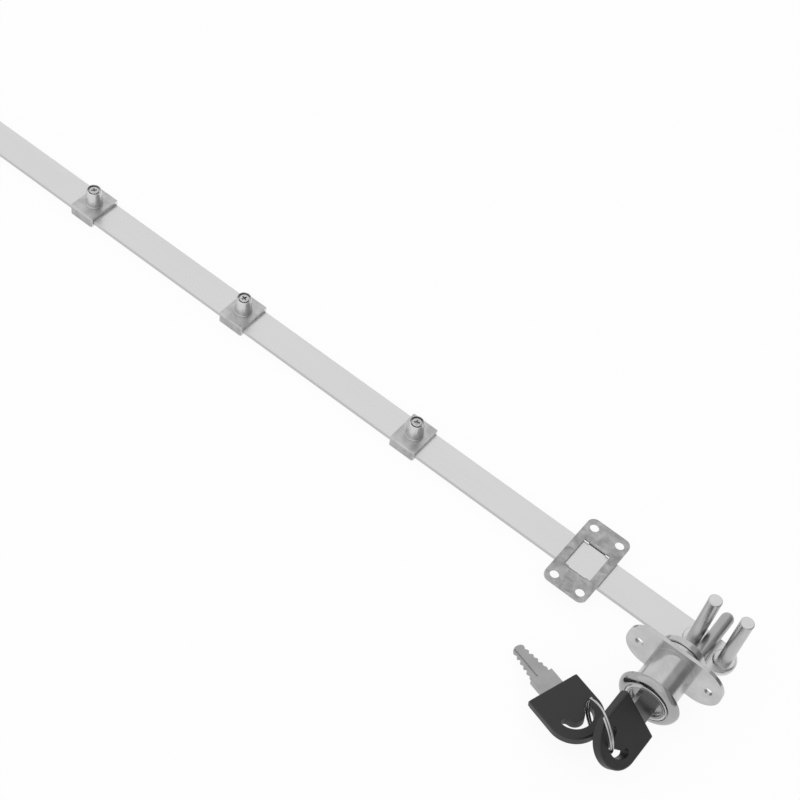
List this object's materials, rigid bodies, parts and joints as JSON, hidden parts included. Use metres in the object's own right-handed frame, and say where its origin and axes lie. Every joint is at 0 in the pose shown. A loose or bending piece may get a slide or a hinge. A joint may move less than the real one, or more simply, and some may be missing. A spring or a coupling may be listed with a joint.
{
  "type": "drawer rod lock",
  "caption": "Keyed side lock for a drawer cabinet: a turning eccentric pin slides a flat rod whose adjustable cleats hold the drawers.",
  "frame": {"origin": "where the lock's axis crosses the seat face of the flange, which is the centre of the flange's two screw holes", "axes": "+X along the rod towards its rounded lock end, +Y along the lock's axis from the key to the back, +Z out of the rod's face towards the cleats' pins"},
  "size_m": [0.5034, 0.0964, 0.0348],
  "materials": {
    "nickel_casting": "nickel-plated zinc casting, satin on the flange and bright on the barrel",
    "chrome_trim": "bright nickel plate",
    "galvanised_sheet": "matt mottled zinc on bent sheet steel",
    "nickel_plug": "satin nickel",
    "brass": "stamped, unpolished",
    "spring_wire": "drawn wire",
    "turned_steel": "turned and bright zinc plated",
    "zinc_screw": "zinc plated",
    "rod_steel": "zinc-plated flat steel, satin",
    "cleat_zinc": "satin zinc casting",
    "key_steel": "milled and nickel plated",
    "key_plastic": "black, softly moulded edges",
    "ring_wire": "nickel-plated spring wire"
  },
  "bodies": {
    "case": {"lock_housing": "nickel_casting", "bezel_ring": "chrome_trim", "guide_bracket": "galvanised_sheet"},
    "plug": {"lock_plug": "nickel_plug", "wafer_1": "brass", "wafer_2": "brass", "wafer_3": "brass", "wafer_4": "brass", "wafer_5": "brass", "wafer_springs": "spring_wire", "cam_disc": "nickel_casting", "drive_pin": "turned_steel", "cam_screw": "zinc_screw"},
    "rod": {"lock_rod": "rod_steel", "post_inner": "turned_steel", "post_outer": "turned_steel"},
    "cleat_1": {"cleat_block_1": "cleat_zinc", "cleat_pin_1": "turned_steel"},
    "cleat_2": {"cleat_block_2": "cleat_zinc", "cleat_pin_2": "turned_steel"},
    "cleat_3": {"cleat_block_3": "cleat_zinc", "cleat_pin_3": "turned_steel"},
    "screw_1": {"set_screw_1": "zinc_screw"},
    "screw_2": {"set_screw_2": "zinc_screw"},
    "screw_3": {"set_screw_3": "zinc_screw"},
    "key_1": {"key_blade_1": "key_steel", "key_bow_1": "key_plastic"},
    "ring": {"split_ring": "ring_wire"},
    "key_2": {"key_blade_2": "key_steel", "key_bow_2": "key_plastic"}
  },
  "joints": [
    {"name": "plug_turn", "type": "hinge", "parent": "case", "child": "plug", "pos_m": [0, 0, 0], "axis": [0, 1, 0], "range_deg": [0, 90]},
    {"name": "rod_slide", "type": "slide", "parent": "case", "child": "rod", "axis": [-1, 0, 0], "range_m": [0, 0.0099]},
    {"name": "cleat_slide_1", "type": "slide", "parent": "rod", "child": "cleat_1", "axis": [1, 0, 0], "range_m": [-0.03, 0.03]},
    {"name": "cleat_slide_2", "type": "slide", "parent": "rod", "child": "cleat_2", "axis": [1, 0, 0], "range_m": [-0.03, 0.03]},
    {"name": "cleat_slide_3", "type": "slide", "parent": "rod", "child": "cleat_3", "axis": [1, 0, 0], "range_m": [-0.03, 0.03]},
    {"name": "set_screw_turn_1", "type": "hinge", "parent": "cleat_1", "child": "screw_1", "pos_m": [-0.1475, 0.0242, -0.006], "axis": [0, 0, 1], "range_deg": [0, 360]},
    {"name": "set_screw_turn_2", "type": "hinge", "parent": "cleat_2", "child": "screw_2", "pos_m": [-0.246, 0.0242, -0.006], "axis": [0, 0, 1], "range_deg": [0, 360]},
    {"name": "set_screw_turn_3", "type": "hinge", "parent": "cleat_3", "child": "screw_3", "pos_m": [-0.3385, 0.0242, -0.006], "axis": [0, 0, 1], "range_deg": [0, 360]},
    {"name": "key_draw", "type": "slide", "parent": "plug", "child": "key_1", "axis": [0, -1, 0], "range_m": [0, 0.018]},
    {"name": "ring_turn", "type": "hinge", "parent": "key_1", "child": "ring", "pos_m": [-0.0081, -0.04155, 0.0005], "axis": [0.5232, 0.8472, 0.0924], "range_deg": [0, 40]},
    {"name": "key_2_swing", "type": "hinge", "parent": "ring", "child": "key_2", "pos_m": [-0.01468, -0.03672, -0.00657], "axis": [-0.5962, 0.2865, 0.7499], "range_deg": [0, 30]}
  ],
  "couplings": [
    {"joint": "plug_turn", "follows": "rod_slide", "rad_per_m": 158.67}
  ]
}
